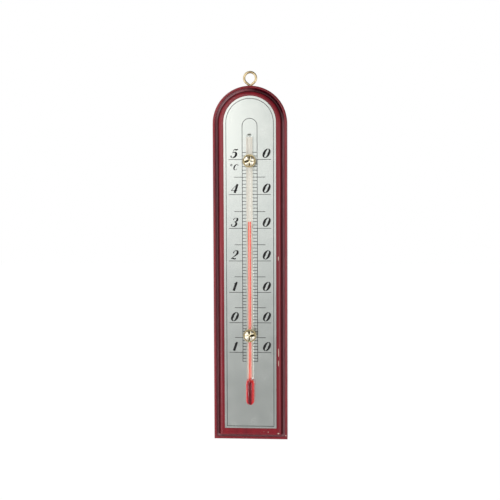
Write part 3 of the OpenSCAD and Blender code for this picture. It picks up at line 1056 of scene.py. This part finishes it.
def rosette_height(r, angle):
    """Height of the pressing over its back, at a radius and an angle from the middle."""
    height = FLANGE_T * FLANGE_FACE
    q = r / petal_edge(angle)
    if q < 1:
        dome = (1 - q ** PETAL_ROUNDING) ** 0.5
        creased = 1 - CREASE_DROP * crease_share(r, angle)
        lobe = (1 - PETAL_LOBE * math.cos(PETALS * angle) * q) / (1 + PETAL_LOBE)
        height += (PETAL_TOP - height) * dome * creased * lobe
        height -= DIMPLE_DEPTH * math.exp(-(r / DIMPLE_R) ** 2)
    gap = from_bead(r, angle)
    if gap < BEAD_R:
        height = max(height, FLANGE_T / 2 + math.sqrt(BEAD_R ** 2 - gap ** 2))
    return height


def rosette_patina_and_shade(r, angle):
    """How dark the brass is, by patina and painted shade: most in the creases and round the foot of the
    petals.
    """
    if r < petal_edge(angle):
        foot = FOOT_PATINA_AND_SHADE * math.exp(-((petal_edge(angle) - r) / FOOT_SPREAD) ** 2)
        middle = MIDDLE_PATINA_AND_SHADE * math.exp(-(r / MIDDLE_SPREAD) ** 2)
        return max(crease_share(r, angle) ** 1.3, foot, middle)
    return BEAD_PATINA_AND_SHADE if from_bead(r, angle) < BEAD_R * BEAD_BRIGHT else FLANGE_PATINA_AND_SHADE


def rosette_reach(angle):
    """Radius of the pressing's outline: it swells round each bead."""
    off = abs(off_bead(angle)) * FLANGE_R
    return FLANGE_R + math.sqrt(max(BEAD_R ** 2 - off ** 2, 0.0)) * BEAD_OUT


def make_rosette():
    """Pressed from one disc: a line spun to a disc, drawn up into petals and beads, then given a back."""
    flat = [(FLANGE_R * (i / RINGS) ** RING_SPREAD, 0.0) for i in range(RINGS + 1)]
    disc = lathe("rosette", flat, SPOKES)
    for vertex in disc.data.vertices:
        x, y, _ = vertex.co
        angle = math.atan2(y, x)
        r = math.hypot(x, y) / FLANGE_R * rosette_reach(angle)
        vertex.co = (r * math.cos(angle), r * math.sin(angle), rosette_height(r, angle))
    edit("EDGE")
    bpy.ops.mesh.select_all(action="DESELECT")
    bpy.ops.mesh.select_non_manifold()
    pull()
    mesh = bmesh.from_edit_mesh(disc.data)
    for vertex in mesh.verts:
        if vertex.select:
            vertex.co.z = 0.0
    bmesh.update_edit_mesh(disc.data)
    bpy.ops.mesh.edge_face_add()
    tidy()
    # Patina with painted shade in the creases, round the petals' foot, in the middle and on the flange
    dark = disc.data.attributes.new("patina_and_shade", "FLOAT", "POINT")
    for vertex, mark in zip(disc.data.vertices, dark.data):
        x, y, z = vertex.co
        if z > PATINA_AND_SHADE_FROM_Z:
            mark.value = rosette_patina_and_shade(math.hypot(x, y), math.atan2(y, x))
    disc.data.transform(Matrix.Rotation(math.pi / 2, 4, "X"))
    smooth(disc, 60)
    return disc


def make_rosettes(paint):
    """The same pressing twice; the lower one is turned upside down."""
    pattern = make_rosette()
    wear(pattern, paint)
    for node, turn in (("upper_rosette", 0.0), ("lower_rosette", math.pi)):
        low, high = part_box(node)
        piece = copy_of(pattern, node + "_pressing")
        middle = Matrix.Translation((0, high.y, (low.z + high.z) / 2))
        piece.data.transform(middle @ Matrix.Rotation(turn, 4, "Y"))
        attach(piece, "instrument")
        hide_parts(node)
    bpy.data.objects.remove(pattern)


# Screw eye

WIRE_R = 0.85 * MM
WIRE_SIDES = 28
RING_STEPS = 56
BEND_STEPS = 10
RING_R = 4.15 * MM
LEG_SLANT = math.radians(50)
# Height at which the legs' lines meet
MEET_Z = BOARD_HIGH.z + 0.5 * MM
# The left leg is cut off this far before that
CUT_L = 0.9 * MM
# The cut end is chamfered to a share of the wire's radius
CHAMFER = 0.12 * MM
CHAMFER_SHARE = 0.82
BEND_R = 1.0 * MM
POINT_L = 2.5 * MM
POINT_BLUNT = 0.1 * MM
POINT_SHARE = 0.2


def make_screw_eye(paint):
    """Wire drawn as by hand: cut end, left leg, round top, right leg, bend and shank."""
    leg_l = RING_R / math.tan(LEG_SLANT)
    ring_z = MEET_Z + RING_R / math.sin(LEG_SLANT)
    lean = Vector((math.sin(LEG_SLANT), 0, math.cos(LEG_SLANT)))
    left = Vector((-lean.x, 0, lean.z))
    start = Vector((0, EYE_Y, MEET_Z)) + left * CUT_L
    wire = add(bpy.ops.mesh.primitive_circle_add, "screw_eye_wire", vertices=WIRE_SIDES,
               radius=WIRE_R * CHAMFER_SHARE, location=start, rotation=(0, LEG_SLANT - math.pi / 2, 0))
    settle(wire)
    edit()
    bpy.ops.mesh.select_all(action="SELECT")
    pull(*(left * CHAMFER))
    scale(1 / CHAMFER_SHARE, 1 / CHAMFER_SHARE, 1 / CHAMFER_SHARE, start + left * CHAMFER)
    pull(*(left * (leg_l - CUT_L - CHAMFER)))
    round_top = -math.pi - 2 * LEG_SLANT
    bpy.ops.mesh.spin(steps=RING_STEPS, angle=round_top, center=(0, EYE_Y, ring_z), axis=(0, 1, 0))
    tangent_l = BEND_R * math.tan(LEG_SLANT / 2)
    shank_top = MEET_Z - tangent_l
    pull(*(-lean * (leg_l - tangent_l)))
    bend_centre = (BEND_R, EYE_Y, shank_top)
    bpy.ops.mesh.spin(steps=BEND_STEPS, angle=LEG_SLANT, center=bend_centre, axis=(0, 1, 0))
    pull(z=EYE_LOW.z + POINT_L - shank_top)
    pull(z=POINT_BLUNT - POINT_L)
    scale(POINT_SHARE, POINT_SHARE, 1, (0, EYE_Y, EYE_LOW.z + POINT_BLUNT))
    bpy.ops.mesh.select_all(action="SELECT")
    bpy.ops.mesh.fill_holes(sides=0)
    tidy()
    smooth(wire, 40)
    wear(wire, paint)
    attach(wire, "instrument")
    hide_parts("screw_eye")


# Stage

WHITE = (1.0, 1.0, 1.0, 1.0)
FLOOR_Z = -0.3
FLOOR_SIZE = 12.0
PAPER = (0.8, 0.8, 0.8, 1.0)
PAPER_GLOW = 1.2
GLOW_SHARE = 0.78
# Metal mirrors the glowing paper from between these places on: along Y, and across to both sides
MIRRORED_BEHIND = (-0.3, 0.2)
MIRRORED_BESIDE = (0.2, 0.5)

# Light of the room around the board: low and high in front of it, at its sides, and overhead.
# The dim part overhead starts lower on the right, by the lean.
ROOM_LOW = 1.2
ROOM_HIGH = 0.42
ROOM_SIDE = 1.05
ROOM_OVER = 0.22
ROOM_LEAN = 0.35
# Parts of the direction between which one of them passes into the next
LOW_TO_HIGH = (-0.02, 0.22)
SIDE_TO_BACK = (-0.4, 0.1)
SIDE_TO_FRONT = (-0.6, -0.92)
FRONT_TO_OVER = (0.3, 0.75)

WARM_WHITE = (1.0, 0.975, 0.93)
PLAIN_WHITE = (1.0, 1.0, 1.0)
LAMP_AIM = Vector((0, 0, 0.13))

# The photo's view: a near camera, a little right of the middle and a little above it. Angles are in degrees.
CAMERA_AIM = Vector((-0.5, -7.0, 134.0)) * MM
CAMERA_TURN = 3.83
CAMERA_RISE = 3.02
CAMERA_FAR = 584.5 * MM
CAMERA_ROLL = -0.213
CAMERA_LENS = 59.49
CAMERA_FILM = 36.0


def make_floor():
    """Pale paper under the hanging board. It glows to the camera, and keeps the board's soft shadow."""
    floor = add(bpy.ops.mesh.primitive_plane_add, "floor", size=FLOOR_SIZE, location=(0, 0, FLOOR_Z))
    settle(floor)
    made, tree = material("pale_floor")
    path = put(tree, "ShaderNodeLightPath").outputs
    place = split(tree, object_place(tree))
    behind = map_range(tree, place["Y"], *MIRRORED_BEHIND)
    beside = map_range(tree, math_node(tree, "ABSOLUTE", place["X"]), *MIRRORED_BESIDE)
    mirrored = times(tree, path["Is Glossy Ray"], larger(tree, behind, beside))
    mirrored = larger(tree, mirrored, path["Is Transmission Ray"])
    seen = larger(tree, path["Is Camera Ray"], mirrored)
    paper = put(tree, "ShaderNodeBsdfDiffuse", {"Color": PAPER})
    glow = put(tree, "ShaderNodeEmission", {"Color": WHITE, "Strength": PAPER_GLOW})
    mixed = put(tree, "ShaderNodeMixShader", {
        0: times(tree, seen, GLOW_SHARE), 1: paper.outputs[0], 2: glow.outputs[0],
    })
    finish_material(tree, mixed.outputs[0])
    wear(floor, made)


def make_world():
    """White behind the board, and a dimmer room in front of it, for the metal and the lacquer to show."""
    world = bpy.data.worlds.new("studio")
    bpy.context.scene.world = world
    world.use_nodes = True
    tree = world.node_tree
    tree.nodes.clear()
    path = put(tree, "ShaderNodeLightPath").outputs
    way = split(tree, put(tree, "ShaderNodeTexCoord").outputs["Generated"])
    ahead = map_range(tree, way["Z"], *LOW_TO_HIGH, ROOM_LOW, ROOM_HIGH)
    beside = map_range(tree, way["Y"], *SIDE_TO_BACK, ROOM_SIDE, 1.0)
    straight = map_range(tree, way["Y"], *SIDE_TO_FRONT)
    around = put(tree, "ShaderNodeMix", {0: straight, 2: beside, 3: ahead}).outputs[0]
    leaning = plus(tree, way["Z"], times(tree, way["X"], ROOM_LEAN))
    over = map_range(tree, leaning, *FRONT_TO_OVER)
    level = put(tree, "ShaderNodeMix", {0: over, 2: around, 3: ROOM_OVER}).outputs[0]
    room = put(tree, "ShaderNodeBackground", {"Color": WHITE, "Strength": level})
    white = put(tree, "ShaderNodeBackground", {"Color": WHITE, "Strength": 1.0})
    mixed = put(tree, "ShaderNodeMixShader", {
        0: path["Is Camera Ray"], 1: room.outputs[0], 2: white.outputs[0],
    })
    put(tree, "ShaderNodeOutputWorld", {"Surface": mixed.outputs[0]})


def softbox(name, place, width, height, glow, colour):
    """A soft lamp that faces the board, by how bright its face looks beside white paper."""
    data = bpy.data.lights.new(name, "AREA")
    data.shape = "RECTANGLE"
    data.size = width
    data.size_y = height
    data.energy = glow * math.pi * width * height
    data.color = colour
    lamp = show(name, data)
    lamp.location = place
    lamp.rotation_euler = (LAMP_AIM - Vector(place)).to_track_quat("-Z", "Y").to_euler()


def make_lamps():
    """A large warm lamp and a small high one at the upper left, and a lower one on each side."""
    softbox("key", (-0.375, -1.1, 0.53), 0.6, 0.66, 1.42, WARM_WHITE)
    softbox("high", (-0.35, -0.45, 0.75), 0.2, 0.2, 3.5, PLAIN_WHITE)
    softbox("fill", (0.62, -0.7, 0.05), 0.3, 0.4, 2.5, PLAIN_WHITE)
    softbox("low", (-0.75, -0.6, -0.05), 0.4, 0.3, 2.7, PLAIN_WHITE)


def make_camera():
    data = bpy.data.cameras.new("camera")
    data.sensor_fit = "HORIZONTAL"
    data.sensor_width = CAMERA_FILM
    data.lens = CAMERA_LENS
    camera = show("camera", data)
    turn, rise = math.radians(CAMERA_TURN), math.radians(CAMERA_RISE)
    back = Vector((math.sin(turn) * math.cos(rise), -math.cos(turn) * math.cos(rise), math.sin(rise)))
    look = (-back).to_track_quat("-Z", "Y").to_matrix().to_4x4()
    roll = Matrix.Rotation(math.radians(CAMERA_ROLL), 4, back)
    camera.matrix_world = Matrix.Translation(CAMERA_AIM + back * CAMERA_FAR) @ roll @ look
    bpy.context.scene.camera = camera


# The stage, then the pieces that keep their solids, then the pieces modelled here

make_camera()
make_world()
make_lamps()
make_floor()

ink = scale_ink()
strip_brass = brass(
    "polished_strip_brass", pale=(0.90, 0.80, 0.58), deep=(0.66, 0.52, 0.28), edge=(0.8, 0.7, 0.5),
    patch=300.0, roughness=0.18, lines=0.3,
)
wear(NODES["backboard"], stained_wood())
wear(NODES["plate_adhesive"], cloudy(
    "yellowed_adhesive", patch=150.0, speck=3000.0, contrast=1.5,
    colours=((0.50, 0.44, 0.28), (0.66, 0.60, 0.42)), roughness=(0.45, 0.65),
))
wear(NODES["scale_plate"], satin_aluminium())
wear(NODES["scale_print"], ink)
wear(NODES["enamel_stripe"], cloudy(
    "cream_white_enamel", patch=120.0, speck=2500.0, contrast=1.2,
    colours=((0.88, 0.82, 0.73), (0.92, 0.88, 0.81)), roughness=(0.35, 0.5),
))
wear(NODES["upper_staple"], strip_brass)
wear(NODES["lower_staple"], strip_brass)

make_glass()
make_bulb_spirit()
thread_red = column_spirit()
make_column(thread_red)
make_meniscus(thread_red)
make_figures(ink)
make_rosettes(brass(
    "polished_pale_brass", pale=(0.96, 0.91, 0.77), deep=(0.82, 0.72, 0.48), edge=(0.85, 0.75, 0.55),
    patch=260.0, roughness=0.12, lines=0.1, patina_and_shade=True,
))
make_screw_eye(brass(
    "drawn_brass_wire", pale=(0.76, 0.62, 0.38), deep=(0.44, 0.33, 0.16), edge=(0.30, 0.24, 0.13),
    patch=220.0, roughness=0.32, lines=0.8, shaded_top=True,
))

bpy.context.scene.view_settings.view_transform = "Standard"
